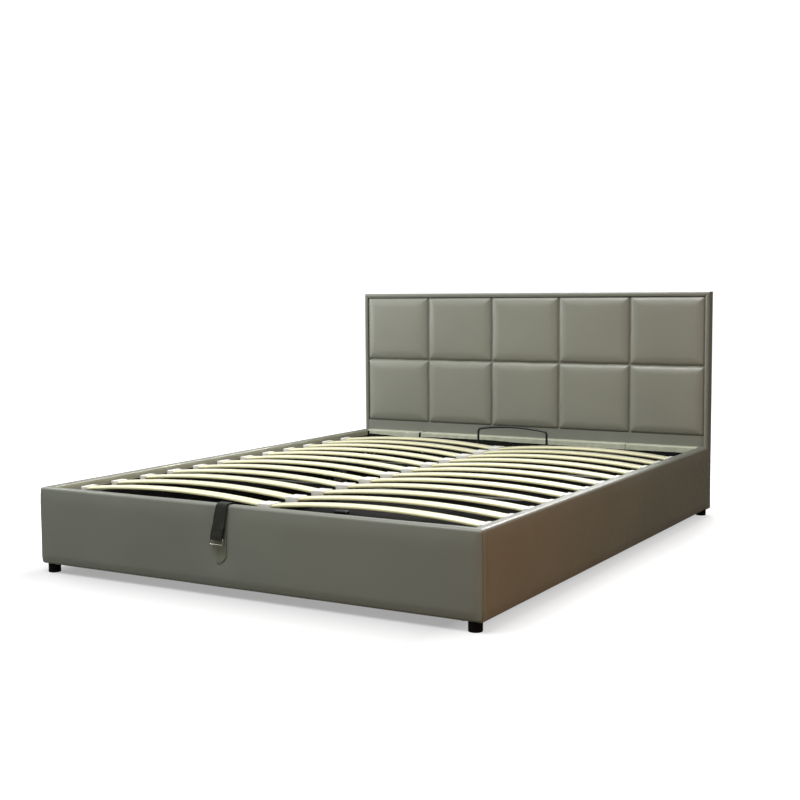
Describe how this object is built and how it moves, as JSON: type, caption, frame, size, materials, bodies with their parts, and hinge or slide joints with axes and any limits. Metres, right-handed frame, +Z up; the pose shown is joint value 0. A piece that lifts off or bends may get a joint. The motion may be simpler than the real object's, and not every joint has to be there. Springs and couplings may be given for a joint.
{
  "type": "ottoman storage bed",
  "caption": "Upholstered bed frame whose sprung-slat platform lifts from the foot on gas struts over a lined storage box, with a panelled headboard.",
  "frame": {"origin": "on the floor, below the middle of the whole bed's box", "axes": "+Y from the foot to the headboard, +Z up, +X to the right as seen from the foot"},
  "size_m": [1.68, 2.182, 0.942],
  "materials": {
    "leatherette": "grey-green embossed leatherette, satin",
    "pad_leatherette": "grey-green embossed leatherette on foam, satin",
    "board": "raw particle board",
    "floor_panel": "thin board faced in black",
    "batten": "planed softwood",
    "liner": "black non-woven cloth",
    "slat": "bent plywood, pale and lacquered",
    "white_plastic": "white moulded plastic",
    "black_plastic": "black moulded plastic",
    "black_steel": "black powder coat",
    "zinc_steel": "zinc-plated pressed steel",
    "strut_paint": "black enamel",
    "bright_rod": "polished rod",
    "ring_metal": "nickel-plated wire",
    "webbing": "black woven webbing"
  },
  "bodies": {
    "base": {"headboard_board": "board", "headboard_cover": "leatherette", "headboard_lining": "liner", "headboard_pad_01": "pad_leatherette", "headboard_pad_02": "pad_leatherette", "headboard_pad_03": "pad_leatherette", "headboard_pad_04": "pad_leatherette", "headboard_pad_05": "pad_leatherette", "headboard_pad_06": "pad_leatherette", "headboard_pad_07": "pad_leatherette", "headboard_pad_08": "pad_leatherette", "headboard_pad_09": "pad_leatherette", "headboard_pad_10": "pad_leatherette", "head_rail_board": "board", "head_rail_cover": "leatherette", "foot_rail_board": "board", "foot_rail_cover": "leatherette", "storage_liner": "liner", "corner_brackets": "black_steel", "frame_bolts": "zinc_steel", "mechanism_bolts": "zinc_steel", "floor_beam": "batten", "floor_battens": "batten", "storage_floor_panels": "floor_panel", "corner_feet": "black_plastic", "centre_feet": "black_plastic", "pivot_bolts": "zinc_steel", "side_rail_board_left": "board", "side_rail_cover_left": "leatherette", "hinge_post_left": "zinc_steel", "strut_foot_bracket_left": "zinc_steel", "side_rail_board_right": "board", "side_rail_cover_right": "leatherette", "hinge_post_right": "zinc_steel", "strut_foot_bracket_right": "zinc_steel"},
    "platform": {"platform_foot_tube": "black_steel", "platform_head_tube": "black_steel", "platform_centre_tube": "black_steel", "platform_cross_tube_1": "black_steel", "platform_cross_tube_2": "black_steel", "tube_end_plugs": "black_plastic", "slats_left": "slat", "slats_right": "slat", "slat_end_caps": "white_plastic", "slat_centre_caps": "white_plastic", "mattress_retaining_bar": "black_steel", "foot_stop_block": "black_plastic", "strap_anchor": "webbing", "strap_screws": "zinc_steel", "platform_side_tube_left": "black_steel", "platform_hinge_plate_left": "zinc_steel", "platform_side_tube_right": "black_steel", "platform_hinge_plate_right": "zinc_steel"},
    "pull_strap": {"pull_strap": "webbing", "strap_ring": "ring_metal", "strap_tab": "leatherette"},
    "strut_cylinder_left": {"strut_cylinder_left": "strut_paint"},
    "strut_rod_left": {"strut_rod_left": "bright_rod"},
    "strut_cylinder_right": {"strut_cylinder_right": "strut_paint"},
    "strut_rod_right": {"strut_rod_right": "bright_rod"}
  },
  "joints": [
    {"name": "lift", "type": "hinge", "parent": "base", "child": "platform", "pos_m": [0, 0.745, 0.245], "axis": [-1, 0, 0], "range_deg": [0, 45]},
    {"name": "cylinder_swing_left", "type": "hinge", "parent": "base", "child": "strut_cylinder_left", "pos_m": [-0.792, 0.68173, 0.07116], "axis": [-1, 0, 0], "range_deg": [0, 22.5]},
    {"name": "rod_swing_left", "type": "hinge", "parent": "platform", "child": "strut_rod_left", "pos_m": [-0.792, 0.56, 0.245], "axis": [-1, 0, 0], "range_deg": [-22.5, 0]},
    {"name": "cylinder_swing_right", "type": "hinge", "parent": "base", "child": "strut_cylinder_right", "pos_m": [0.792, 0.68173, 0.07116], "axis": [-1, 0, 0], "range_deg": [0, 22.5]},
    {"name": "rod_swing_right", "type": "hinge", "parent": "platform", "child": "strut_rod_right", "pos_m": [0.792, 0.56, 0.245], "axis": [-1, 0, 0], "range_deg": [-22.5, 0]},
    {"name": "strap_hang", "type": "hinge", "parent": "platform", "child": "pull_strap", "pos_m": [-0.056, -1.027, 0.261], "axis": [-1, 0, 0], "range_deg": [-36, 0]}
  ],
  "couplings": [
    {"joint": "cylinder_swing_left", "follows": "lift", "ratio": 0.5},
    {"joint": "rod_swing_left", "follows": "lift", "ratio": -0.5},
    {"joint": "cylinder_swing_right", "follows": "lift", "ratio": 0.5},
    {"joint": "rod_swing_right", "follows": "lift", "ratio": -0.5},
    {"joint": "strap_hang", "follows": "lift", "ratio": -0.8}
  ]
}
